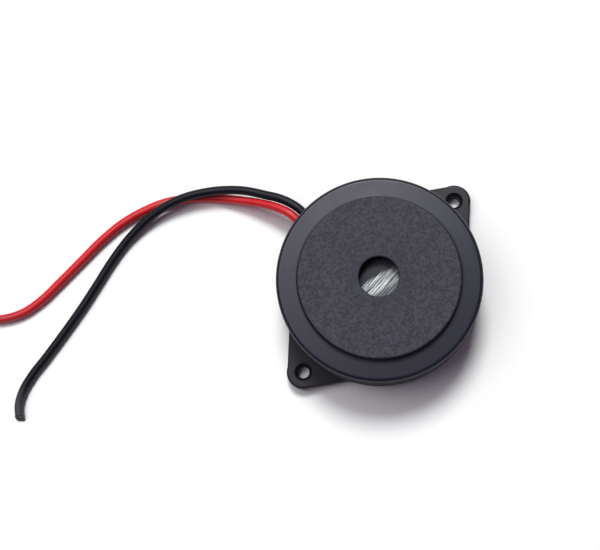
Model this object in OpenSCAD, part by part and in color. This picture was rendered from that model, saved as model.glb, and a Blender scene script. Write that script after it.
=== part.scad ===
// Two-lead piezo buzzer: a round front cover over a base cup with two mounting ears.
// Millimetres, +Z up. The origin is the centre of the mounting face, the ears lie
// along X and the leads leave towards +Y.

/* [Front cover] */
// Outer diameter of the cover
cover_d = 42; // [41:0.5:46]
// Height from the mounting face to the top of the plateau
case_h = 16; // [15:0.5:20]
// Width of the ring and rim round the raised plateau
ring_w = 4.7; // [4:0.1:5.4]
// Height of the step round the plateau
plateau_step = 1.6; // [1.2:0.1:1.8]
// Fall of the sloping ring from the step to the rim
ring_fall = 0.5; // [0.2:0.1:0.8]
// Rounding of the rim
rim_round = 1; // [0.6:0.1:1.4]
// Draft of the skirt, from the rim to its foot
skirt_draft = 0.2; // [0.1:0.05:0.4]
// Diameter of the sound hole
sound_hole_d = 8; // [5:0.5:11]
// Thickness of the wall in front of the diaphragm
top_wall = 1.6; // [1.2:0.1:2.2]
// Depth of the cavity in front of the diaphragm
front_cavity = 1.2; // [0.8:0.1:1.8]
// Width of the seat for the edge of the metal plate
seat_w = 2.5; // [2:0.1:4]
// Wall of the cover's skirt at its foot
skirt_wall = 1.4; // [1:0.1:1.8]
// Gap between the ears and the skirt above them
skirt_gap = 1.2; // [0.6:0.1:1.8]
// Height of the cover's shoulder over the base cup
shoulder_h = 3.5; // [3:0.1:4]

/* [Base] */
// Wall of the base cup
base_wall = 1.6; // [1.2:0.1:2]
// Floor of the base cup
base_floor = 1.6; // [1.2:0.1:2.2]
// Distance of an ear hole from the edge of the cover
ear_reach = 3; // [2.5:0.1:6]
// Diameter of an ear hole
ear_hole_d = 2.5; // [2.2:0.1:3.2]
// Top diameter of the countersink of an ear hole
ear_sink_d = 3.7; // [3.4:0.1:4.4]
// Diameter of the round end of an ear
ear_end_d = 7; // [6.4:0.1:8]
// Thickness of an ear
ear_t = 3; // [2:0.1:3.6]
// Depth that the flanks of an ear run into the base wall
ear_flank_in = 1; // [0.6:0.1:1.4]
// Setback of the flanks from the round end
ear_flank_set = 0.15; // [0.05:0.05:0.6]
// Chamfer on the top edge of the ears
ear_chamfer = 0.4; // [0.2:0.1:0.8]

/* [Sounder] */
// Setback of the plate's pocket from the base wall
pocket_set = 0.25; // [0.15:0.05:0.6]
// Thickness of the metal plate
plate_t = 0.25; // [0.15:0.05:0.4]
// Bare border of the plate round the ceramic disc
plate_border = 5; // [4.5:0.1:7]
// Thickness of the ceramic disc
ceramic_t = 0.25; // [0.15:0.05:0.4]
// Bare border of the ceramic round the electrodes
electrode_border = 1; // [0.5:0.1:1.5]
// Thickness of the silver electrodes
electrode_t = 0.05; // [0.03:0.01:0.1]
// Width of the feedback tongue
tongue_w = 4; // [3:0.5:5]
// Length of the feedback tongue
tongue_l = 7; // [6:0.5:8]
// Gap between the two electrodes
electrode_gap = 0.7; // [0.5:0.1:1]
// Width of the adhesive bead under the plate's edge
bead_w = 1; // [0.6:0.1:1.4]

/* [Board] */
// Thickness of the circuit board
board_t = 1.2; // [0.8:0.1:1.6]
// Gap between the board's edge and the base wall
board_gap = 2.4; // [2:0.1:2.8]
// Height of the posts under the board
post_h = 1.8; // [1.4:0.1:2.4]
// Diameter of a post
post_d = 3; // [2.4:0.1:3.6]
// Diameter of the peg on a post
peg_d = 1.6; // [1.2:0.1:2]
// Diameter of the staked head of a peg
peg_head_d = 2.8; // [2.4:0.1:3.2]
// Height of the staked head of a peg
peg_head_h = 0.6; // [0.4:0.1:0.8]
// Setback of the posts from the board's edge
post_set = 2.3; // [2:0.1:2.6]
// Length of a pin below the board
pin_tail = 1; // [0.8:0.1:1.2]
// Height of a solder joint
solder_h = 0.7; // [0.5:0.05:0.8]

/* [Components] */
// Diameter of the transistor body
transistor_d = 4.7; // [4:0.1:5]
// Gap between the transistor and the sounder
transistor_gap = 2.25; // [1:0.05:3]
// Depth of the transistor body behind its flat face
transistor_depth = 3.6; // [3:0.1:3.8]
// Stand of the transistor body above the board
transistor_stand = 1.2; // [0.8:0.1:1.6]
// Spacing of the transistor legs
leg_pitch = 1.27; // [1.25:0.01:1.4]
// Diameter of the inductor drum
drum_d = 7.8; // [7:0.1:8.4]
// Gap between the inductor and the sounder
drum_gap = 1.85; // [0.8:0.05:3]
// Thickness of a drum flange
drum_flange = 1; // [0.8:0.1:1.4]
// Diameter of the drum's waist
drum_waist_d = 3.6; // [3:0.1:4]
// Depth of the winding below the edge of the flanges
winding_set = 0.4; // [0.2:0.1:0.8]
// Turns that show on the winding
winding_turns = 10; // [8:1:14]
// Spacing of the inductor pins
drum_pin_pitch = 5; // [4:0.1:5.6]
// Spacing of the pins of an axial component
axial_pitch = 7.5; // [7:0.1:8]
// Length of an axial body
axial_l = 3.6; // [3:0.1:4.2]
// Diameter of a resistor body at its ends
resistor_d = 1.9; // [1.6:0.1:2.2]
// Diameter of the diode body
diode_d = 1.8; // [1.6:0.1:2]
// Diameter of thin component pins
pin_d = 0.5; // [0.4:0.05:0.6]
// Diameter of the thin sounder wires
wire_d = 0.8; // [0.6:0.1:1]

/* [Leads] */
// Diameter of a lead over its insulation
lead_d = 1.9; // [1.6:0.1:2]
// Diameter of a lead's stranded core
core_d = 0.8; // [0.6:0.1:1]
// Straight run of a lead outside the cover
lead_straight = 3; // [2:0.5:4]
// Depth that a lead reaches inside the base wall
lead_reach = 3.2; // [2.6:0.1:4]
// Run of the stripped core from the insulation to its hole
core_run = 2.2; // [1.8:0.1:2.6]
// Height of the sealant above the leads' centre line
sealant_rise = 2.2; // [1.4:0.1:3]

/* [Fits] */
// Clearance between the skirt and the base cup
case_fit = 0.1; // [0.05:0.05:0.2]
// Clearance round the edge of the metal plate
plate_fit = 0.15; // [0.1:0.05:0.3]
// Clearance round a pin or peg in the board
pin_fit = 0.05; // [0.03:0.01:0.1]
// Clearance round the leads in the skirt and base wall
lead_fit = 0.15; // [0.1:0.05:0.25]
// Gap between the two leads, and between the leads and the board
lead_gap = 0.1; // [0.05:0.05:0.2]

/* [Hidden] */
$fn = 72;
past = 1;               // reach of a cutting shape past the face it cuts

// Heights and radii of the case
cover_r = cover_d / 2;
rim_r = cover_r - skirt_draft;
plateau_r = cover_r - ring_w;
hole_r = sound_hole_d / 2;
skirt_in_r = cover_r - skirt_wall;
base_r = skirt_in_r - case_fit;
base_in_r = base_r - base_wall;
step_z = case_h - plateau_step;
ring_z = step_z - ring_fall;
skirt_z = ear_t + skirt_gap;
base_h = ring_z - shoulder_h;
edge_round = 0.3;       // rounding of the hole, plateau and skirt edges
foot_round = 0.5;       // hollow fillet at the foot of the plateau

// Sounder
pocket_r = base_in_r - pocket_set;
plate_r = pocket_r - plate_fit;
cavity_r = plate_r - seat_w;
ceramic_r = plate_r - plate_border;
electrode_r = ceramic_r - electrode_border;
plate_top = case_h - top_wall - front_cavity;
plate_z = plate_top - plate_t;
ceramic_z = plate_z - ceramic_t;
electrode_z = ceramic_z - electrode_t;
bead_lip = 0.25;        // thickness of the adhesive bead at its two edges

// Ears
ear_x = cover_r + ear_reach;
ear_end_r = ear_end_d / 2;
flank_r = ear_end_r - ear_flank_set;
boss_round = ear_chamfer + 0.15;   // rounding of an ear's end, softer than its flanks
ear_flank_angle = asin((base_r - ear_flank_in - flank_r) / ear_x);
flank_normal = [sin(ear_flank_angle), cos(ear_flank_angle)];
flank_tip = [ear_x, 0] + flank_r * flank_normal;
flank_root = (ear_x * sin(ear_flank_angle) + flank_r) * flank_normal;

// Board and the parts on it, which stand at shares of its radius
board_z = base_floor + post_h;
board_top = board_z + board_t;
board_r = base_in_r - board_gap;
post_r = board_r - post_set;
post_angles = [30, 150, 270];
pin_z = board_z - pin_tail;
pin_r = pin_d / 2;
drum_pin_r = 0.3;
transistor_at = board_r * [0.45, -0.29];
inductor_at = board_r * [-0.42, -0.22];
bias_at = board_r * [0, 0.38];
feedback_at = board_r * [0.22, -0.63];
diode_at = board_r * [0.06, -0.12];
transistor_h = electrode_z - transistor_gap - board_top - transistor_stand;
drum_h = electrode_z - drum_gap - board_top;
axial_bend = 0.6;       // bend radius of an axial component's leads
core_bend = 0.9;        // bend radius of a lead's stripped core
collar_r = 0.6;         // outer radius of a solder joint under the board
joint_r = 1;            // radius of a solder joint that takes a sounder wire
joint_h = 0.8;          // height of a solder joint that takes a sounder wire
wire_stub = 0.5;        // straight end of a sounder wire

// Leads
lead_r = lead_d / 2;
core_r = core_d / 2;
lead_x = lead_r + lead_gap / 2;
lead_z = board_top + lead_r + lead_gap / 2;
lead_in_y = base_in_r - lead_reach;
core_hole_y = lead_in_y - core_run;
slot_r = lead_r + lead_fit;
slot_half = lead_x + slot_r;

// Pins through the board, each as its place and its radius
bias_pins = [for (s = [-1, 1]) [bias_at[0] + s * axial_pitch / 2, bias_at[1], pin_r]];
feedback_pins = [for (s = [-1, 1]) [feedback_at[0] + s * axial_pitch / 2, feedback_at[1], pin_r]];
diode_pins = [for (s = [-1, 1]) [diode_at[0], diode_at[1] + s * axial_pitch / 2, pin_r]];
leg_pins = [for (s = [-1, 0, 1]) [transistor_at[0] + s * leg_pitch, transistor_at[1], pin_r]];
drum_pins = [for (s = [-1, 1]) [inductor_at[0], inductor_at[1] + s * drum_pin_pitch / 2, drum_pin_r]];
core_pins = [for (s = [-1, 1]) [s * lead_x, core_hole_y, core_r]];
all_pins = concat(bias_pins, feedback_pins, diode_pins, leg_pins, drum_pins, core_pins);

// Ends of the sounder wires: on the board, and on the sounder
drive_pad = board_r * [0.48, 0.13];
feedback_pad = board_r * [-0.33, -0.68];
plate_pad = board_r * [-0.61, 0.16];
drive_joint = electrode_r * [0.43, 0.43];
tongue_joint_set = 2.9; // setback of the tongue's joint from the electrode's edge
feedback_joint = [0, tongue_joint_set - electrode_r];
plate_joint_set = 2.95; // setback of the plate's joint from the plate's edge
plate_joint_angle = 167;
plate_joint = (plate_r - plate_joint_set) * [cos(plate_joint_angle), sin(plate_joint_angle)];
board_pads = [drive_pad, feedback_pad, plate_pad];

// Routes of the leads: straight out of the base, then down to the table and along it,
// with Y measured from the edge of the cover
edge = [0, cover_r, 0];
lead_start = [for (y = [lead_in_y - cover_r, 0, lead_straight]) [lead_x, y, lead_z]];
black_run = [
    [0.2, 6.5, 5.3], [-1.4, 10, 4.7], [-3.5, 14, 4.1], [-6.2, 17.5, 3.6], [-9.5, 20.6, 3.3],
    [-13.4, 23.3, 3.1], [-18, 25.3, 2.5], [-23.3, 26.4, 1.7], [-28.5, 26.6, 1.1], [-34, 26, 1],
    [-39.5, 25, 1], [-45.5, 24, 1], [-52, 23.2, 1], [-58, 22.6, 1], [-63, 22.2, 1],
    [-66.6, 21.4, 1], [-69.3, 20, 1], [-71.2, 18, 1]
];
red_run = [
    [-1.8, 6.3, 4.8], [-3.4, 10, 3.5], [-5.6, 14, 2.2], [-8.4, 18.2, 1.3], [-12, 22.4, 1],
    [-16, 25.8, 1], [-21, 28.4, 1], [-26.2, 30.1, 1], [-31.7, 30.9, 1], [-38, 31.2, 1],
    [-44.3, 31.5, 1], [-50, 31.9, 1], [-54.4, 33, 1], [-57.8, 35, 1], [-60.8, 38, 1],
    [-63.6, 41.4, 1], [-66, 44.6, 1]
];
black_route = [for (p = concat(lead_start, black_run)) edge + p];
red_route = [for (p = concat([for (p = lead_start) [-p[0], p[1], p[2]]], red_run)) edge + p];

function arc(at, r, from, to, steps = 6) =
    [for (i = [0:steps]) let (a = from + (to - from) * i / steps) at + r * [cos(a), sin(a)]];

function unit(v) = v / norm(v);

function heading(path, i) =
    unit(path[min(i + 1, len(path) - 1)] - path[max(i - 1, 0)]);

function ring_at(path, i, r, side, sides) =
    let (t = heading(path, i), u = unit(cross(side, t)), v = cross(t, u))
    [for (k = [0:sides - 1]) path[i] + r * (cos(360 * k / sides) * u + sin(360 * k / sides) * v)];

// A wire that drops straight, swings across and lands straight
function swing(from, to, steps = 8) =
    let (a = from - [0, 0, wire_stub], b = to + [0, 0, wire_stub])
    concat([from], [for (i = [0:steps]) let (s = i / steps, w = s * s * (3 - 2 * s))
        [a[0] + (b[0] - a[0]) * w, a[1] + (b[1] - a[1]) * w, a[2] + (b[2] - a[2]) * s]], [to]);

// A round wire swept along a path; side is a direction the path never takes
module tube(path, r, side, sides = 8) {
    last = len(path) - 1;
    points = [for (i = [0:last]) each ring_at(path, i, r, side, sides)];
    wall = [for (i = [0:last - 1], k = [0:sides - 1]) let (n = (k + 1) % sides)
        [(i + 1) * sides + k, (i + 1) * sides + n, i * sides + n, i * sides + k]];
    near_end = [for (k = [0:sides - 1]) k];
    far_end = [for (k = [sides - 1:-1:0]) last * sides + k];
    polyhedron(points, concat([near_end], wall, [far_end]), convexity = 6);
}

// A pin that runs along X, turns down and drops
module bent_pin(run, bend, drop, r) {
    rotate([0, 90, 0]) cylinder(h = run, r = r);
    translate([run, 0, -bend]) rotate([90, 0, 0]) rotate_extrude(angle = 90) translate([bend, 0]) circle(r);
    translate([run + bend, 0, -bend - drop]) cylinder(h = drop, r = r);
}

// Both leads of an axial component that lies on the board along X
module axial_leads(height) {
    run = (axial_pitch - axial_l) / 2 - axial_bend;
    for (turn = [0, 180]) rotate(turn) translate([axial_l / 2, 0, height])
        bent_pin(run, axial_bend, height - axial_bend - pin_z, pin_r);
}

module resistor_body() {
    waist = 0.15;
    cap = 0.9;
    rotate([0, 90, 0]) rotate_extrude() polygon(concat(
        [[0, -axial_l / 2]],
        arc([resistor_d / 2 - edge_round, edge_round - axial_l / 2], edge_round, -90, 0),
        [[resistor_d / 2, cap - axial_l / 2], [resistor_d / 2 - waist, cap + waist - axial_l / 2]],
        [[resistor_d / 2 - waist, axial_l / 2 - cap - waist], [resistor_d / 2, axial_l / 2 - cap]],
        arc([resistor_d / 2 - edge_round, axial_l / 2 - edge_round], edge_round, 0, 90),
        [[0, axial_l / 2]]));
}

// Round slot for the two leads, seen along Y, open upwards or downwards to open_z
module lead_slot(open_z) {
    for (s = [-1, 1]) translate([s * lead_x, lead_z]) circle(slot_r);
    translate([-lead_x, lead_z - slot_r]) square([2 * lead_x, 2 * slot_r]);
    translate([-slot_half, min(lead_z, open_z)]) square([2 * slot_half, abs(open_z - lead_z)]);
}

// A shape seen along Y, drawn out from inside the base to past the cover
module along_y() {
    translate([0, cover_r + past, 0]) rotate([90, 0, 0]) linear_extrude(cover_r + past - lead_in_y) children();
}

// Solder joint that takes a sounder wire, standing up from z = 0
module wire_joint() {
    hollow = [for (a = [20:10:90]) [joint_r - (joint_r - wire_d / 2) * sin(a), joint_h * (1 - cos(a))]];
    rotate_extrude() polygon(concat([[0, 0], [joint_r, 0]], hollow, [[0, joint_h]]));
}

module tongue(width) {
    inner_y = tongue_l - electrode_r - width / 2;
    translate([0, inner_y]) circle(d = width);
    translate([-width / 2, -electrode_r - past]) square([width, inner_y + electrode_r + past]);
}

module front_cover() {
    foot = [plateau_r + foot_round, step_z + foot_round];
    rim = [rim_r - rim_round, ring_z - rim_round];
    slope = acos((foot_round + rim_round) / norm(rim - foot)) - atan2(rim[0] - foot[0], foot[1] - rim[1]);
    draft = atan(skirt_draft / (ring_z - skirt_z));
    outside = concat(
        arc([hole_r + edge_round, case_h - edge_round], edge_round, 180, 90),
        arc([plateau_r - edge_round, case_h - edge_round], edge_round, 90, 0),
        arc(foot, foot_round, 180, 270 - slope),
        arc(rim, rim_round, 90 - slope, draft, 10),
        arc([cover_r - edge_round, skirt_z + edge_round], edge_round, draft, -90));
    inside = [[skirt_in_r, skirt_z], [skirt_in_r, base_h], [pocket_r, base_h], [pocket_r, plate_top],
        [cavity_r, plate_top], [cavity_r, case_h - top_wall], [hole_r, case_h - top_wall]];
    color("#2a2a2f") difference() {
        rotate_extrude() polygon(concat(outside, inside));
        along_y() lead_slot(skirt_z - past);
    }
}

// One ear towards +X, with its flanks chamfered along the top
module ear() {
    difference() {
        linear_extrude(ear_t) polygon([[flank_root[0], -flank_root[1]], [flank_tip[0], -flank_tip[1]],
            flank_tip, flank_root]);
        for (s = [0, 1]) mirror([0, s, 0]) translate([flank_tip[0], flank_tip[1], ear_t])
            rotate(180 - ear_flank_angle) rotate([90, 0, 90]) translate([0, 0, -ear_end_d]) linear_extrude(cover_d)
                polygon([[-past, past], [-past, -ear_chamfer - past], [ear_chamfer + past, past]]);
    }
    translate([ear_x, 0, 0]) rotate_extrude() polygon(concat(
        [[0, 0], [ear_end_r, 0]],
        arc([ear_end_r - boss_round, ear_t - boss_round], boss_round, 0, 90),
        [[0, ear_t]]));
}

// Screw hole of an ear, with a right-angled countersink for a flat head
module ear_hole() {
    sink = (ear_sink_d - ear_hole_d) / 2;
    translate([0, 0, -past]) cylinder(d = ear_hole_d, h = ear_t + 2 * past);
    translate([0, 0, ear_t - sink]) cylinder(d1 = ear_hole_d, d2 = ear_sink_d + 2 * past, h = sink + past);
}

module base_case() {
    color("#242428") {
        difference() {
            union() {
                cylinder(r = base_r, h = base_h);
                for (turn = [0, 180]) rotate(turn) ear();
            }
            translate([0, 0, base_floor]) cylinder(r = base_in_r, h = base_h);
            for (s = [-1, 1]) translate([s * ear_x, 0, 0]) ear_hole();
            along_y() lead_slot(base_h + past);
        }
        for (a = post_angles) rotate(a) translate([post_r, 0, base_floor]) {
            cylinder(d = post_d, h = post_h);
            cylinder(d = peg_d, h = post_h + board_t);
            translate([0, 0, post_h + board_t]) rotate_extrude() polygon(concat(
                [[0, 0]],
                arc([peg_head_d / 2 - peg_head_h, 0], peg_head_h, 0, 90),
                [[0, peg_head_h]]));
        }
    }
}

module diaphragm_plate() {
    color("#c9ccd0") translate([0, 0, plate_z]) cylinder(r = plate_r, h = plate_t);
}

module ceramic_disc() {
    color("#d8cfb8") translate([0, 0, ceramic_z]) cylinder(r = ceramic_r, h = ceramic_t);
}

module drive_electrode() {
    color("#dcdce0") translate([0, 0, electrode_z]) difference() {
        cylinder(r = electrode_r, h = electrode_t);
        translate([0, 0, -past]) linear_extrude(electrode_t + 2 * past) tongue(tongue_w + 2 * electrode_gap);
    }
}

module feedback_electrode() {
    color("#dcdce0") translate([0, 0, electrode_z]) intersection() {
        cylinder(r = electrode_r, h = electrode_t);
        linear_extrude(electrode_t) tongue(tongue_w);
    }
}

module diaphragm_adhesive() {
    color("#e8e8e4") rotate_extrude() polygon(concat(
        [[pocket_r, plate_z], [pocket_r - bead_w, plate_z]],
        arc([pocket_r - bead_w, plate_z - bead_w], bead_w - bead_lip, 90, 0),
        [[pocket_r, plate_z - bead_w]]));
}

module circuit_board() {
    color("#b58a4a") difference() {
        translate([0, 0, board_z]) cylinder(r = board_r, h = board_t);
        for (p = all_pins) translate([p[0], p[1], board_z - past]) cylinder(r = p[2] + pin_fit, h = board_t + 2 * past);
        for (a = post_angles) rotate(a) translate([post_r, 0, board_z - past])
            cylinder(r = peg_d / 2 + pin_fit, h = board_t + 2 * past);
    }
}

module transistor() {
    flat_y = transistor_d / 2 - transistor_depth;
    color("#1f1f22") translate([transistor_at[0], transistor_at[1], board_top + transistor_stand]) difference() {
        cylinder(d = transistor_d, h = transistor_h);
        translate([-transistor_d, flat_y - transistor_d, -past])
            cube([2 * transistor_d, transistor_d, transistor_h + 2 * past]);
    }
}

module transistor_legs() {
    color("#c4c6c8") for (p = leg_pins) translate([p[0], p[1], pin_z])
        cylinder(r = p[2], h = board_top + transistor_stand - pin_z);
}

module inductor_core() {
    drum_r = drum_d / 2;
    waist_r = drum_waist_d / 2;
    color("#3a3a3c") translate([inductor_at[0], inductor_at[1], board_top]) rotate_extrude() polygon([
        [0, 0], [drum_r, 0], [drum_r, drum_flange], [waist_r, drum_flange],
        [waist_r, drum_h - drum_flange], [drum_r, drum_h - drum_flange], [drum_r, drum_h], [0, drum_h]]);
}

module inductor_winding() {
    turn_h = (drum_h - 2 * drum_flange) / winding_turns;
    crest_r = drum_d / 2 - winding_set - turn_h / 2;
    turns = [for (i = [0:winding_turns - 1], a = [-90:30:60])
        [crest_r, drum_flange + (i + 0.5) * turn_h] + turn_h / 2 * [cos(a), sin(a)]];
    color("#b4622d") translate([inductor_at[0], inductor_at[1], board_top]) rotate_extrude() polygon(concat(
        [[drum_waist_d / 2, drum_flange]], turns,
        [[crest_r, drum_h - drum_flange], [drum_waist_d / 2, drum_h - drum_flange]]));
}

module inductor_pins() {
    color("#c4c6c8") for (p = drum_pins) translate([p[0], p[1], pin_z]) cylinder(r = p[2], h = board_top - pin_z);
}

module bias_resistor() {
    color("#c9b48a") translate([bias_at[0], bias_at[1], board_top + resistor_d / 2]) resistor_body();
}

module bias_resistor_leads() {
    color("#c4c6c8") translate([bias_at[0], bias_at[1], 0]) axial_leads(board_top + resistor_d / 2);
}

module feedback_resistor() {
    color("#c9b48a") translate([feedback_at[0], feedback_at[1], board_top + resistor_d / 2]) resistor_body();
}

module feedback_resistor_leads() {
    color("#c4c6c8") translate([feedback_at[0], feedback_at[1], 0]) axial_leads(board_top + resistor_d / 2);
}

module diode() {
    diode_r = diode_d / 2;
    color("#c2703a") translate([diode_at[0], diode_at[1], board_top + diode_r]) rotate([90, 0, 0]) rotate_extrude()
        polygon(concat(
            [[0, -axial_l / 2]],
            arc([diode_r - edge_round, edge_round - axial_l / 2], edge_round, -90, 0),
            arc([diode_r - edge_round, axial_l / 2 - edge_round], edge_round, 0, 90),
            [[0, axial_l / 2]]));
}

module diode_leads() {
    color("#c4c6c8") translate([diode_at[0], diode_at[1], 0]) rotate(90) axial_leads(board_top + diode_d / 2);
}

// A sounder wire from a joint on the sounder, whose face is at joint_z, down to its pad
module sounder_wire(joint, joint_z, pad) {
    swung = [pad[0] - joint[0], pad[1] - joint[1]];
    tube(swing([joint[0], joint[1], joint_z - joint_h], [pad[0], pad[1], board_top + joint_h]),
        wire_d / 2, [-swung[1], swung[0], 0]);
}

module drive_wire() {
    color("#b8262b") sounder_wire(drive_joint, electrode_z, drive_pad);
}

module feedback_wire() {
    color("#2d5fa8") sounder_wire(feedback_joint, electrode_z, feedback_pad);
}

module plate_wire() {
    color("#1c1c1f") sounder_wire(plate_joint, plate_z, plate_pad);
}

module disc_solder() {
    color("#b9bcc0") {
        for (p = [drive_joint, feedback_joint]) translate([p[0], p[1], electrode_z]) mirror([0, 0, 1]) wire_joint();
        translate([plate_joint[0], plate_joint[1], plate_z]) mirror([0, 0, 1]) wire_joint();
    }
}

module board_solder() {
    shoulder = 0.12;
    color("#b9bcc0") {
        for (p = board_pads) translate([p[0], p[1], board_top]) wire_joint();
        for (p = all_pins) translate([p[0], p[1], board_z]) rotate_extrude() polygon([
            [p[2], 0], [p[2], -solder_h], [p[2] + shoulder, -solder_h], [collar_r, 0]]);
    }
}

module red_lead() {
    color("#c81f2a") tube(red_route, lead_r, [0, 0, 1]);
}

module black_lead() {
    color("#1a1a1d") tube(black_route, lead_r, [0, 0, 1]);
}

// Stripped core of the lead on one side: back over the board and down through its hole
module lead_core(side) {
    color("#c7a27a") translate([side * lead_x, lead_in_y, lead_z]) rotate(-90)
        bent_pin(core_run - core_bend, core_bend, lead_z - core_bend - pin_z, core_r);
}

module red_lead_core() {
    lead_core(-1);
}

module black_lead_core() {
    lead_core(1);
}

module lead_sealant() {
    color("#d9d7cf") difference() {
        intersection() {
            difference() {
                cylinder(r = base_r, h = lead_z + sealant_rise);
                translate([0, 0, -past]) cylinder(r = base_in_r - base_wall / 2, h = case_h);
            }
            along_y() lead_slot(base_h);
        }
        for (s = [-1, 1]) translate([s * lead_x, 0, lead_z]) rotate([-90, 0, 0]) cylinder(r = lead_r, h = cover_d);
    }
}

front_cover();
base_case();
diaphragm_plate();
ceramic_disc();
drive_electrode();
feedback_electrode();
diaphragm_adhesive();
circuit_board();
transistor();
transistor_legs();
inductor_core();
inductor_winding();
inductor_pins();
bias_resistor();
bias_resistor_leads();
feedback_resistor();
feedback_resistor_leads();
diode();
diode_leads();
drive_wire();
feedback_wire();
plate_wire();
disc_solder();
board_solder();
red_lead();
black_lead();
red_lead_core();
black_lead_core();
lead_sealant();
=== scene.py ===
import math

import bmesh
import bpy
from mathutils import Matrix, Vector, noise


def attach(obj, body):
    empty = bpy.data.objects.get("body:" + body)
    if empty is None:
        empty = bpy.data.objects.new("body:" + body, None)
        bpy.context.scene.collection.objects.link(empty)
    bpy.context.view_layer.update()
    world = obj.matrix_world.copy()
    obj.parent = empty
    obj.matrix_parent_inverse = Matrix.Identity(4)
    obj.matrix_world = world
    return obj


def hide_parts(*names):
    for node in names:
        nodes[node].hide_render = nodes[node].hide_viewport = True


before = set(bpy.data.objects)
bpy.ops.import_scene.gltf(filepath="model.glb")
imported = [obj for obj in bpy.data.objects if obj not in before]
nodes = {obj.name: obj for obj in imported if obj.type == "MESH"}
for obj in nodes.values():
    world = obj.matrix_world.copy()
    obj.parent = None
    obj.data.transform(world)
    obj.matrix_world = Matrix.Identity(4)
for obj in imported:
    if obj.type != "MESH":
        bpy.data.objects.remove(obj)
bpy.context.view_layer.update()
scene = bpy.context.scene
scene.view_settings.view_transform = "Standard"
mm = 0.001
print("frame loaded with", len(nodes), "nodes")

# the camera looks almost straight down, from a little below and right of the picture's middle; places in mm
photoCamera = {
    "place": (-25.25, -23.2, 235), "aim": (-8.97, 14.58, 0), "up": (0.753, 0.658, 0.13),
    "lens": 67.02, "sensor": 36, "clip": (10, 20000),
}


def makeCamera(shot):
    place, aim = Vector(shot["place"]) * mm, Vector(shot["aim"]) * mm
    back = (place - aim).normalized()
    right = Vector(shot["up"]).cross(back).normalized()
    turn = Matrix((right, back.cross(right), back)).transposed()
    camera = bpy.data.objects.new("photoCamera", bpy.data.cameras.new("photoCamera"))
    camera.matrix_world = Matrix.Translation(place) @ turn.to_4x4()
    camera.data.lens, camera.data.sensor_width = shot["lens"], shot["sensor"]
    camera.data.clip_start, camera.data.clip_end = (end * mm for end in shot["clip"])
    scene.collection.objects.link(camera)
    scene.camera = camera


makeCamera(photoCamera)
print("camera set")


class Wire:  # one output socket; an expression on it adds Math nodes
    def __init__(self, net, socket):
        self.net, self.socket = net, socket

    def side(self, name):  # another output of the same node
        return Wire(self.net, self.socket.node.outputs[name])

    def __add__(self, other):
        return self.net.math("ADD", self, other)

    def __sub__(self, other):
        return self.net.math("SUBTRACT", self, other)

    def __rsub__(self, other):
        return self.net.math("SUBTRACT", other, self)

    def __mul__(self, other):
        return self.net.math("MULTIPLY", self, other)

    __radd__, __rmul__ = __add__, __mul__


class Net:  # a node tree; any node is written by its type, its settings and its sockets
    def __init__(self, tree):
        self.tree = tree
        tree.nodes.clear()

    def add(self, kind, settings=None, sockets=None, out=0):
        node = self.tree.nodes.new(kind)
        for key, value in (settings or {}).items():
            setattr(node, key, value)
        for key, value in (sockets or {}).items():
            if isinstance(value, Wire):
                self.tree.links.new(value.socket, node.inputs[key])
            else:
                node.inputs[key].default_value = value
        return Wire(self, node.outputs[out]) if node.outputs else None

    def math(self, operation, *values):
        return self.add("ShaderNodeMath", {"operation": operation}, dict(enumerate(values)))

    def mix(self, share, first, second):  # colours
        return self.add("ShaderNodeMix", {"data_type": "RGBA"}, {0: share, 6: first, 7: second}, 2)

    def place(self):
        return self.add("ShaderNodeTexCoord", out="Object")

    def across(self):  # X of the piece's own coordinates; Y and Z are its sides
        return self.add("ShaderNodeSeparateXYZ", {}, {0: self.place()})

    def stretched(self, turn, scale):  # the piece's own coordinates, turned and stretched
        return self.add("ShaderNodeMapping", {}, {
            "Vector": self.place(), "Rotation": (0, 0, turn), "Scale": scale})

    def cloud(self, scale, detail=3, rough=0.6, vector=None):
        return self.add("ShaderNodeTexNoise", {}, {
            "Vector": vector or self.place(), "Scale": scale, "Detail": detail, "Roughness": rough})

    def cells(self, scale):
        return self.add("ShaderNodeTexVoronoi", {}, {"Vector": self.place(), "Scale": scale})

    def step(self, value, low, high):  # 0 below low, 1 above high, soft between
        return self.add("ShaderNodeMapRange", {"interpolation_type": "SMOOTHSTEP"}, {0: value, 1: low, 2: high})

    def zone(self, value, ends):  # a step between two places in mm
        return self.step(value, ends[0] * mm, ends[1] * mm)

    def bump(self, height, strength, deep):  # deep in mm
        return self.add("ShaderNodeBump", {}, {"Height": height, "Strength": strength, "Distance": deep * mm})


class Finish(Net):
    def __init__(self, name):
        self.material = bpy.data.materials.new(name)
        self.material.use_nodes = True
        super().__init__(self.material.node_tree)

    def wear(self, **looks):  # plain words to the shader's own sockets
        words = {"colour": "Base Color", "rough": "Roughness", "metal": "Metallic", "normal": "Normal",
                 "gloss": "Specular IOR Level"}
        shader = self.add("ShaderNodeBsdfPrincipled", {}, {words[key]: value for key, value in looks.items()})
        self.add("ShaderNodeOutputMaterial", {}, {0: shader})
        return self.material


painted = []


def shade(red, green, blue):
    return (red, green, blue, 1)


def paint(piece, *materials):
    piece.data.materials.clear()
    for material in materials:
        piece.data.materials.append(material)
    painted.append(piece.name)


def makePiece(name, mesh, sharp):  # edges sharper than this many degrees stay sharp
    mesh.shade_smooth()
    mesh.set_sharp_from_angle(angle=math.radians(sharp))
    piece = bpy.data.objects.new(name, mesh)
    scene.collection.objects.link(piece)
    return piece


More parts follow.
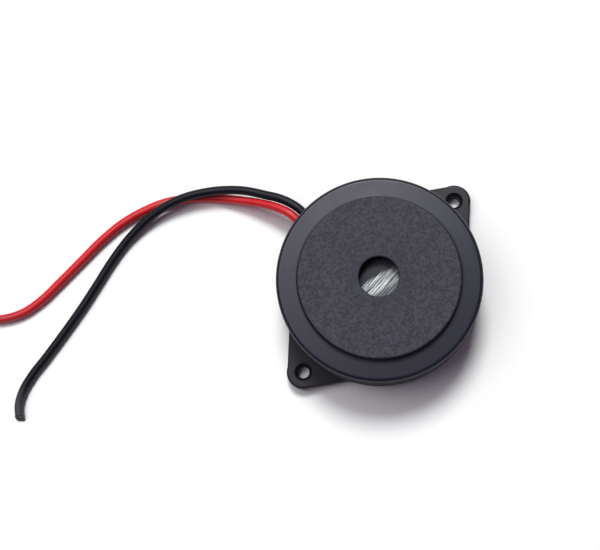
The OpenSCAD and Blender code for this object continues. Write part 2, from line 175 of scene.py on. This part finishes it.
def smoothLine(points, pitch):  # an even line through all the points, without corners
    points = [Vector(p) * mm for p in points]
    spans = [(b - a).length for a, b in zip(points, points[1:])]
    slopes = [(b - a) / span for a, b, span in zip(points, points[1:], spans)]
    turns = [slopes[0]]
    for before, after, a, b in zip(slopes, slopes[1:], spans, spans[1:]):
        turns.append((before * b + after * a) / (a + b))
    turns.append(slopes[-1])
    line = [points[0]]
    for i, span in enumerate(spans):
        count = max(1, round(span / pitch))
        for k in range(1, count + 1):
            t = k / count
            line.append(points[i] * (2 * t**3 - 3 * t**2 + 1) + turns[i] * (span * (t**3 - 2 * t**2 + t))
                        + points[i + 1] * (3 * t**2 - 2 * t**3) + turns[i + 1] * (span * (t**3 - t**2)))
    return line


def carriedFrames(line):  # the way on and two side directions at each point, carried along without twist
    ways = [(b - a).normalized() for a, b in zip(line, line[1:])]
    ways = [ways[0]] + [(a + b).normalized() for a, b in zip(ways, ways[1:])] + [ways[-1]]
    across = Vector((0, 0, 1)).cross(ways[0]).normalized()
    frames = []
    for way in ways:
        across = (across - way * across.dot(way)).normalized()
        frames.append((way, across, way.cross(across)))
    return frames


def addRing(bm, centre, across, over, radius, sides):
    turn = 2 * math.pi / sides
    return [bm.verts.new(centre + radius * (math.cos(k * turn) * across + math.sin(k * turn) * over))
            for k in range(sides)]


def bridge(bm, first, second):
    for k in range(len(first)):
        n = (k + 1) % len(first)
        bm.faces.new((first[k], first[n], second[n], second[k]))


def skin(bm, rings):  # walls from ring to ring, and a face on each end
    for first, second in zip(rings, rings[1:]):
        bridge(bm, first, second)
    bm.faces.new(rings[0])
    bm.faces.new(rings[-1])


def meshOf(bm, name):
    bmesh.ops.recalc_face_normals(bm, faces=bm.faces)
    mesh = bpy.data.meshes.new(name)
    bm.to_mesh(mesh)
    bm.free()
    return mesh


# both leads, in mm: straight out of the case, down to the table and along it; slant is the cut end's slope
leadShape = {
    "diameter": 1.9, "bore": 0.86, "recess": 0.35, "pitch": 0.3, "sides": 28, "exitY": 21, "exitZ": 5.6,
    "uneven": 0.012, "unevenPitch": 0.045, "nip": 0.07, "slantRings": 6,
}
strandShape = {
    "radius": 0.13, "spacing": 2.06, "rings": 8, "sides": 10, "twist": 0.16, "back": 0.24, "backSwing": 0.3,
}
leadRuns = {
    "black": {"exitX": 1, "slant": 0.7, "route": [
        (1, 14.7, 5.6), (1, 21, 5.6), (1, 24, 5.6), (0.2, 27.5, 5.3), (-1.4, 31, 4.7), (-3.5, 35, 4.1),
        (-6.2, 38.5, 3.6), (-9.5, 41.6, 3.3), (-13.4, 44.3, 3.1), (-18, 46.3, 2.5), (-23.3, 47.4, 1.7),
        (-28.5, 47.6, 1.1), (-34, 47, 1), (-39.5, 46, 1), (-45.5, 45, 1), (-52, 44.2, 1), (-58, 43.6, 1),
        (-63, 43.2, 1), (-66.6, 42.4, 1), (-69.3, 41, 1), (-71.2, 39, 1),
    ]},
    "red": {"exitX": -1, "slant": 0, "route": [
        (-1, 14.7, 5.6), (-1, 21, 5.6), (-1, 24, 5.6), (-1.8, 27.3, 4.8), (-3.4, 31, 3.5), (-5.6, 35, 2.2),
        (-8.4, 39.2, 1.3), (-12, 43.4, 1), (-16, 46.8, 1), (-21, 49.4, 1), (-26.2, 51.1, 1), (-31.7, 51.9, 1),
        (-38, 52.2, 1), (-44.3, 52.5, 1), (-50, 52.9, 1), (-54.4, 54, 1), (-57.8, 56, 1), (-60.8, 59, 1),
        (-63.6, 62.4, 1), (-66, 65.6, 1),
    ]},
}


def lean(ring, point, way, over, slope):  # leans a ring back, as a slanting cut does
    for vertex in ring:
        vertex.co -= way * (slope * (vertex.co - point).dot(over))
    return ring


def makeInsulation(name, line, shape, slant):  # a tube whose cut end is hollow, down to its strands
    radius, bore, nip = shape["diameter"] / 2 * mm, shape["bore"] / 2 * mm, shape["nip"] * mm
    last = len(line) - 1
    bm = bmesh.new()
    rings = []
    for i, (point, (way, across, over)) in enumerate(zip(line, carriedFrames(line))):
        swell = noise.noise(Vector((i * shape["unevenPitch"], len(line) * 0.7, 0)))  # differs from lead to lead
        ring = addRing(bm, point, across, over, radius * (1 - shape["uneven"] * (1 + swell)), shape["sides"])
        rings.append(lean(ring, point, way, over, slant * max(0, 1 - (last - i) / shape["slantRings"])))
    # past the last point the cut edge is a little rounded, and the bore goes in behind it
    for size, ahead in ((radius - nip * 0.3, nip * 0.7), (radius - nip, nip), (bore, nip * 0.6),
                        (bore, -shape["recess"] * mm)):
        ring = addRing(bm, line[-1] + way * ahead, across, over, size, shape["sides"])
        rings.append(lean(ring, line[-1], way, over, slant))
    skin(bm, rings)
    return makePiece(name, meshOf(bm, name), 50)


def makeStrands(name, line, shape, slant):  # twisted strands of tinned copper in the cut end
    radius = shape["radius"] * mm
    ends = list(zip(line, carriedFrames(line)))[-shape["rings"]:]
    bm = bmesh.new()
    for which in range(7):  # one in the middle and six round it, cut a little unevenly
        off = shape["spacing"] * radius if which else 0
        back = shape["back"] * mm * (1 + shape["backSwing"] * math.sin(which * 2.3))
        rings = []
        for i, (point, (way, across, over)) in enumerate(ends):
            turn = which * math.pi / 3 + i * shape["twist"]
            centre = point + off * (math.cos(turn) * across + math.sin(turn) * over)
            ring = addRing(bm, centre - way * back, across, over, radius, shape["sides"])
            rings.append(lean(ring, point, way, over, slant))
        skin(bm, rings)
    return makePiece(name, meshOf(bm, name), 50)


def makeLead(colour, run):
    line = smoothLine(run["route"], leadShape["pitch"] * mm)
    length = sum((b - a).length for a, b in zip(line, line[1:]))
    lead = makeInsulation(colour + "Lead", line, leadShape, run["slant"])
    strands = makeStrands(colour + "LeadStrands", line, strandShape, run["slant"])
    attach(lead, "root")
    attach(strands, "root")
    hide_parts(colour + "_lead")
    print(colour, "lead", round(length / mm, 1), "mm")
    return lead, strands


blackLead, blackStrands = makeLead("black", leadRuns["black"])
redLead, redStrands = makeLead("red", leadRuns["red"])

# the front cover, in mm: the solid's outline turned finely, with real grain on the plateau
coverShape = {
    "holeR": 4, "plateauR": 16.3, "rimR": 20.8, "skirtR": 21, "top": 16, "stepZ": 14.4, "ringZ": 13.9,
    "skirtZ": 4.2, "edge": 0.3, "foot": 0.5, "rim": 1,
    "inside": [(19.6, 4.2), (19.6, 10.4), (17.65, 10.4), (17.65, 13.2), (15, 13.2), (15, 14.4), (4, 14.4)],
    "turns": 360, "steps": {"hole": 6, "plateau": 62, "shoulder": 8, "foot": 10, "ring": 6, "rim": 16, "hem": 6},
    "slotX": 1, "slotZ": 5.6, "slotR": 1.1, "slotY": (14.7, 22), "slotSteps": 10,
    "grain": 0.014, "grainSizes": (1.5, 2.6), "grainShare": 0.6, "grainSink": 0.9, "grainFade": 1,
    # where the darker matt finish goes, as painted shade: on the step's wall between these two radii, and from the
    # last radius out over the rim's brow and the skirt
    "mattShadeWall": (16.2, 16.5), "mattShadeFrom": 20.4,
}


def arcPoints(centre, radius, start, end, count):
    angles = [math.radians(start + (end - start) * i / count) for i in range(count + 1)]
    return [(centre[0] + radius * math.cos(a), centre[1] + radius * math.sin(a)) for a in angles]


def evenPoints(first, second, count):  # between two points, without them
    return [(first[0] + (second[0] - first[0]) * i / count, first[1] + (second[1] - first[1]) * i / count)
            for i in range(1, count)]


def coverOutline(c):
    edge, foot, rim, steps = c["edge"], c["foot"], c["rim"], c["steps"]
    footAt = (c["plateauR"] + foot, c["stepZ"] + foot)
    rimAt = (c["rimR"] - rim, c["ringZ"] - rim)
    reach, fall = rimAt[0] - footAt[0], footAt[1] - rimAt[1]
    slope = math.degrees(math.acos((foot + rim) / math.hypot(reach, fall)) - math.atan2(reach, fall))
    draft = math.degrees(math.atan((c["skirtR"] - c["rimR"]) / (c["ringZ"] - c["skirtZ"])))
    hole = arcPoints((c["holeR"] + edge, c["top"] - edge), edge, 180, 90, steps["hole"])
    plateau = evenPoints((c["holeR"] + edge, c["top"]), (c["plateauR"] - edge, c["top"]), steps["plateau"])
    shoulder = arcPoints((c["plateauR"] - edge, c["top"] - edge), edge, 90, 0, steps["shoulder"])
    hollow = arcPoints(footAt, foot, 180, 270 - slope, steps["foot"])
    brow = arcPoints(rimAt, rim, 90 - slope, draft, steps["rim"])
    ring = evenPoints(hollow[-1], brow[0], steps["ring"])
    hem = arcPoints((c["skirtR"] - edge, c["skirtZ"] + edge), edge, draft, -90, steps["hem"])
    return hole + plateau + shoulder + hollow + ring + brow + hem + c["inside"]


def turned(outline, turns, name):
    bm = bmesh.new()
    columns = []
    for k in range(turns):
        a = 2 * math.pi * k / turns
        columns.append([bm.verts.new((r * mm * math.cos(a), r * mm * math.sin(a), z * mm)) for r, z in outline])
    for k in range(turns):
        bridge(bm, columns[k], columns[(k + 1) % turns])
    return meshOf(bm, name)


def leadArch(c):  # what the two leads' arch takes out of the skirt
    x, z, r, steps = c["slotX"], c["slotZ"], c["slotR"], c["slotSteps"]
    arch = arcPoints((x, z), r, 0, 90, steps) + arcPoints((-x, z), r, 90, 180, steps)
    below = c["skirtZ"] - 1
    arch += [(-x - r, below), (x + r, below)]
    bm = bmesh.new()
    skin(bm, [[bm.verts.new((px * mm, y * mm, pz * mm)) for px, pz in arch] for y in c["slotY"]])
    return meshOf(bm, "leadArch")


def pressGrain(mesh, c):  # moulded grain, which fades out towards the plateau's two edges
    low, high = (c["holeR"] + 2 * c["edge"]) * mm, (c["plateauR"] - 2 * c["edge"]) * mm
    justUnder = (c["top"] - 0.02) * mm
    coarse, fine = c["grainSizes"]
    for vertex in mesh.vertices:
        r = vertex.co.xy.length
        if vertex.co.z > justUnder and low < r < high:
            fade = min(1, (r - low) / (c["grainFade"] * mm), (high - r) / (c["grainFade"] * mm))
            spot = Vector((vertex.co.x, vertex.co.y, 0)) / mm
            rise = noise.noise(spot * coarse) + c["grainShare"] * noise.noise(spot * fine + Vector((31, 7, 0)))
            vertex.co.z += c["grain"] * mm * fade * (rise - c["grainSink"])


def makeCover(c):
    blank = bpy.data.objects.new("coverBlank", turned(coverOutline(c), c["turns"], "coverBlank"))
    cutter = bpy.data.objects.new("archCutter", leadArch(c))
    for thing in (blank, cutter):
        scene.collection.objects.link(thing)
    cut = blank.modifiers.new("arch", "BOOLEAN")
    cut.operation, cut.solver, cut.object = "DIFFERENCE", "EXACT", cutter
    mesh = bpy.data.meshes.new_from_object(blank.evaluated_get(bpy.context.evaluated_depsgraph_get()))
    mesh.name = "frontCover"
    for thing in (blank, cutter):
        bpy.data.objects.remove(thing)
    pressGrain(mesh, c)
    cover = makePiece("frontCover", mesh, 40)
    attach(cover, "root")
    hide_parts("front_cover")
    return cover


frontCover = makeCover(coverShape)
print("front cover turned:", len(frontCover.data.polygons), "faces")

# black moulding, with a grained plateau that is duller than the ring round it; places in mm
coverLook = {
    "dark": shade(0.006, 0.007, 0.018), "pale": shade(0.03, 0.03, 0.045), "gloss": 0.6,
    # the second shade and gloss make the darker, duller matt finish: painted shade on the step's wall, the rim's
    # brow and the skirt
    "mattShadeDark": shade(0.005, 0.005, 0.009), "mattShadeGloss": 0.2,
    "ringRough": 0.56, "plateauRough": 0.7, "rimRough": 0.28, "skirtRough": 0.85,
    "plateauZ": (15.6, 15.85), "plateauR": (16, 16.25), "calmR": (4.5, 10), "rimR": (19.8, 20.3),
    "skirtZ": (12.85, 13.3), "wornR": (19.7, 20.2), "wornZ": (12.8, 13.6),
    "grainScale": 1900, "cellScale": 1520, "satinScale": 5200, "patchScale": 160, "wornScale": 700,
    "blotchScale": 850, "grain": 0.9, "satin": 0.03, "relief": (0.6, 0.12),
}


def coverFinish(name, look, dark, gloss):
    f = Finish(name)
    x = f.across()
    y, z = x.side("Y"), x.side("Z")
    radius = f.math("SQRT", x * x + y * y)
    plateau = f.zone(z, look["plateauZ"]) * (1 - f.zone(radius, look["plateauR"]))
    rim, skirt = f.zone(radius, look["rimR"]), 1 - f.zone(z, look["skirtZ"])
    grain = f.cloud(look["grainScale"], 4, 0.65) * 0.6 + f.cells(look["cellScale"]) * 0.55
    satin, patch = f.cloud(look["satinScale"], 2, 0.5), f.cloud(look["patchScale"])
    scuff = f.step(f.cloud(look["wornScale"], 3, 0.55), 0.45, 0.75)
    worn = f.zone(radius, look["wornR"]) * f.zone(z, look["wornZ"]) * scuff
    blotch = f.step(f.cloud(look["blotchScale"]), 0.35, 0.65)
    calm = f.zone(radius, look["calmR"]) * 0.45 + 0.6  # the grain is calmer and darker round the hole
    tone = plateau * calm * (f.step(grain, 0.38, 0.8) * 1.1 + blotch * 0.65 - 0.43) + worn * 0.12 + patch * 0.12
    share = f.math("MAXIMUM", f.math("MINIMUM", tone, 1), 0)
    rough = look["ringRough"] + plateau * (look["plateauRough"] - look["ringRough"]) + (satin - 0.5) * 0.06
    rough = rough + (patch - 0.5) * 0.08 + rim * (look["rimRough"] - look["ringRough"])
    rough = rough + skirt * (look["skirtRough"] - look["rimRough"])
    height = plateau * grain * look["grain"] + satin * look["satin"]
    return f.wear(colour=f.mix(share, dark, look["pale"]), rough=rough, normal=f.bump(height, *look["relief"]),
                  gloss=gloss)


def markMattShade(cover, c):  # the step's wall, the rim's brow and the skirt get a darker, duller matt finish: painted shade at the foot of the step and along the rim's dark edge line, and a darker skirt below
    inner, outer = c["mattShadeWall"]
    for face in cover.data.polygons:
        r, z = face.center.xy.length / mm, face.center.z / mm
        wall = inner < r < outer and c["stepZ"] < z < c["top"] - c["edge"] / 2
        face.material_index = int(wall or r > c["mattShadeFrom"])


paint(frontCover, coverFinish("coverPlastic", coverLook, coverLook["dark"], coverLook["gloss"]),
      coverFinish("coverMattShade", coverLook, coverLook["mattShadeDark"], coverLook["mattShadeGloss"]))
markMattShade(frontCover, coverShape)

# the base, a plain black moulding
baseLook = {
    "dark": shade(0.004, 0.004, 0.008), "pale": shade(0.01, 0.01, 0.018), "rough": 0.47, "gloss": 0.32,
    "satinScale": 3600, "patchScale": 220, "relief": (0.12, 0.08),
}


def baseFinish(look):
    f = Finish("basePlastic")
    satin, patch = f.cloud(look["satinScale"]), f.cloud(look["patchScale"])
    return f.wear(colour=f.mix(patch * 0.7 + satin * 0.3, look["dark"], look["pale"]), gloss=look["gloss"],
                  rough=look["rough"] + (patch - 0.5) * 0.12, normal=f.bump(satin, *look["relief"]))


paint(nodes["base_case"], baseFinish(baseLook))

# the metal plate behind the hole: dull, with a painted highlight patch in bright streaks along one direction, where
# the lamp's reflection shows past the hole's edge; places in mm
plateLook = {
    "dull": shade(0.03, 0.03, 0.034), "worn": shade(0.065, 0.07, 0.072), "paintedGlint": shade(0.42, 0.45, 0.445),
    "turn": 6.7, "streak": 0.04, "broadScale": 2600, "fineScale": 7500, "rough": 0.5, "relief": (0.3, 0.05),
    # where the painted highlight lies on the plate: its direction, its start, its end and its soft edge in mm, and
    # where it fades along X
    "glintTo": (-0.31, -0.95), "glintFrom": -0.9, "glintEnd": 2, "glintSoft": 0.9, "glintFade": (-1, 4),
}


def plateFinish(look):
    f = Finish("plateMetal")
    along = f.stretched(math.radians(look["turn"]), (look["streak"], 1, 1))
    broad, fine = f.cloud(look["broadScale"], 2, 0.5, along), f.cloud(look["fineScale"], 2, 0.5, along)
    x, soft = f.across(), look["glintSoft"]
    # the patch's edge runs across the plate along the edge of the hole's shadow: painted highlight on one side,
    # dull plate on the other
    way = x * look["glintTo"][0] + x.side("Y") * look["glintTo"][1] + (broad - 0.5) * (soft * mm * 2)
    ended = f.zone(way, (look["glintEnd"], look["glintEnd"] + soft))
    patch = f.zone(way, (look["glintFrom"], look["glintFrom"] + soft)) * (1 - ended * 0.75)
    # the bright streaks are a painted highlight, brightest towards -X and fading towards +X
    glintStreaks = f.step(broad * 0.5 + fine * 0.5, 0.44, 0.6) * (1 - f.zone(x, look["glintFade"]) * 0.7)
    return f.wear(colour=f.mix(patch, look["dull"], f.mix(glintStreaks, look["worn"], look["paintedGlint"])), metal=1.0,
                  rough=look["rough"] - patch * glintStreaks * 0.1, normal=f.bump(broad + fine * 0.5, *look["relief"]))


paint(nodes["diaphragm_plate"], plateFinish(plateLook))

# soft insulation, a little uneven, with another colour towards its cut end, between two places along X in mm: on
# the black a painted highlight, lighter grey; on the red a darker crimson
leadLooks = {
    "patchScale": 420, "fineScale": 2600, "relief": (0.1, 0.1),
    "red": {
        "deep": shade(0.46, 0.005, 0.009), "pale": shade(0.68, 0.012, 0.018), "endTone": shade(0.4, 0.02, 0.035),
        "endToneX": (-60, -50), "rough": 0.4, "gloss": 0.4,
    },
    "black": {
        "deep": shade(0.002, 0.0025, 0.005), "pale": shade(0.005, 0.006, 0.01), "endTone": shade(0.07, 0.07, 0.074),
        "endToneX": (-70, -64), "rough": 0.45, "gloss": 0.2,
    },
}


def insulationFinish(colour, looks):
    f = Finish(colour + "Insulation")
    look = looks[colour]
    patch, fine = f.cloud(looks["patchScale"]), f.cloud(looks["fineScale"])
    # towards the cut end: a painted highlight on the black lead, a darker crimson on the red
    end = (1 - f.zone(f.across(), look["endToneX"])) * (0.4 + patch * 0.6)
    fresh = f.mix(patch * 0.7 + fine * 0.3, look["deep"], look["pale"])
    return f.wear(colour=f.mix(end, fresh, look["endTone"]), rough=look["rough"] + (patch - 0.5) * 0.16,
                  normal=f.bump(patch * 0.6 + fine * 0.4, *looks["relief"]), gloss=look["gloss"])


paint(redLead, insulationFinish("red", leadLooks))
paint(blackLead, insulationFinish("black", leadLooks))

# what sits inside the case: the pieces, two shades, the scale of their mottling and their roughness
innerRelief = (0.25, 0.06)
innerLooks = {
    "ceramic": {
        "on": ["ceramic_disc"],
        "deep": shade(0.55, 0.48, 0.34), "pale": shade(0.72, 0.66, 0.52), "scale": 2200, "rough": 0.65,
    },
    "silver": {
        "on": ["drive_electrode", "feedback_electrode"],
        "deep": shade(0.62, 0.61, 0.58), "pale": shade(0.86, 0.85, 0.83), "scale": 2600, "rough": 0.45,
        "metal": 1.0,
    },
    "silicone": {
        "on": ["diaphragm_adhesive", "lead_sealant"],
        "deep": shade(0.62, 0.62, 0.58), "pale": shade(0.8, 0.8, 0.77), "scale": 700, "rough": 0.42,
    },
    "laminate": {
        "on": ["circuit_board"],
        "deep": shade(0.3, 0.16, 0.05), "pale": shade(0.45, 0.27, 0.1), "scale": 900, "rough": 0.5,
    },
    "compound": {
        "on": ["transistor"],
        "deep": shade(0.008, 0.008, 0.009), "pale": shade(0.022, 0.022, 0.024), "scale": 2600, "rough": 0.6,
    },
    "tinned": {
        "on": ["transistor_legs", "inductor_pins", "bias_resistor_leads", "feedback_resistor_leads", "diode_leads"],
        "deep": shade(0.5, 0.51, 0.52), "pale": shade(0.8, 0.81, 0.82), "scale": 3000, "rough": 0.3,
        "metal": 1.0,
    },
    "ferrite": {
        "on": ["inductor_core"],
        "deep": shade(0.02, 0.02, 0.021), "pale": shade(0.055, 0.055, 0.058), "scale": 3200, "rough": 0.7,
    },
    "copper": {
        "on": ["inductor_winding"],
        "deep": shade(0.42, 0.13, 0.035), "pale": shade(0.72, 0.28, 0.09), "scale": 1500, "rough": 0.28,
        "metal": 1.0,
    },
    "resistorCoat": {
        "on": ["bias_resistor", "feedback_resistor"],
        "deep": shade(0.5, 0.36, 0.19), "pale": shade(0.66, 0.5, 0.3), "scale": 1800, "rough": 0.38,
    },
    "diodeGlass": {
        "on": ["diode"],
        "deep": shade(0.42, 0.1, 0.02), "pale": shade(0.62, 0.22, 0.06), "scale": 900, "rough": 0.12,
    },
    "solder": {
        "on": ["disc_solder", "board_solder"],
        "deep": shade(0.42, 0.43, 0.44), "pale": shade(0.72, 0.73, 0.74), "scale": 2400, "rough": 0.32,
        "metal": 1.0,
    },
    "strandTinned": {  # the strands in the cut ends wear it too
        "on": ["red_lead_core", "black_lead_core"],
        "deep": shade(0.2, 0.19, 0.18), "pale": shade(0.42, 0.4, 0.38), "scale": 4000, "rough": 0.42,
        "metal": 1.0,
    },
    "blueInsulation": {
        "on": ["feedback_wire"],
        "deep": shade(0.015, 0.06, 0.26), "pale": shade(0.03, 0.12, 0.42), "scale": 800, "rough": 0.38,
    },
    "redWire": {
        "on": ["drive_wire"],
        "deep": shade(0.34, 0.008, 0.012), "pale": shade(0.52, 0.02, 0.025), "scale": 800, "rough": 0.38,
    },
    "blackWire": {
        "on": ["plate_wire"],
        "deep": shade(0.008, 0.008, 0.009), "pale": shade(0.02, 0.02, 0.022), "scale": 800, "rough": 0.38,
    },
}


def mottled(name, look):
    f = Finish(name)
    patch, fine = f.cloud(look["scale"] * 0.3), f.cloud(look["scale"], 4, 0.65)
    share = f.step(patch * 0.5 + fine * 0.5, 0.3, 0.7)
    return f.wear(colour=f.mix(share, look["deep"], look["pale"]), metal=look.get("metal", 0.0),
                  rough=look["rough"] + (fine - 0.5) * 0.2, normal=f.bump(fine, *innerRelief))


for finishName, look in innerLooks.items():
    finish = mottled(finishName, look)
    for pieceName in look["on"]:
        paint(nodes[pieceName], finish)
    if finishName == "strandTinned":
        paint(redStrands, finish)
        paint(blackStrands, finish)
print("finishes on", len(painted), "pieces")

# white table, two soft lamps and a dim room; tableR in m, lamps' angles in degrees
stageLook = {
    "table": shade(0.955, 0.975, 0.93), "tableRough": 0.9, "tableR": 6, "tableSides": 64,
    "room": shade(0.105, 0.083, 0.12),
    "lamps": {
        "softLamp": {"to": (0.374, 0.374, 0.848), "angle": 19, "level": 2.5, "colour": (0.97, 0.98, 1)},
        "sideLamp": {"to": (-0.133, 0.43, 0.893), "angle": 40, "level": 1.1, "colour": (0.98, 0.95, 1)},
    },
}


def makeStage(look):
    bm = bmesh.new()
    bmesh.ops.create_circle(bm, cap_ends=True, radius=look["tableR"], segments=look["tableSides"])
    table = bpy.data.objects.new("table", meshOf(bm, "table"))
    scene.collection.objects.link(table)
    paint(table, Finish("tableWhite").wear(colour=look["table"], rough=look["tableRough"], gloss=0.0))
    scene.world = bpy.data.worlds.new("room")
    scene.world.use_nodes = True
    room = Net(scene.world.node_tree)
    room.add("ShaderNodeOutputWorld", {}, {0: room.add("ShaderNodeBackground", {}, {0: look["room"], 1: 1.0})})
    for name, light in look["lamps"].items():
        lamp = bpy.data.objects.new(name, bpy.data.lights.new(name, "SUN"))
        lamp.data.energy, lamp.data.color = light["level"], light["colour"]
        lamp.data.angle = math.radians(light["angle"])
        lamp.rotation_mode = "QUATERNION"
        lamp.rotation_quaternion = Vector(light["to"]).to_track_quat("Z", "Y")
        scene.collection.objects.link(lamp)


makeStage(stageLook)
print("table and light set")
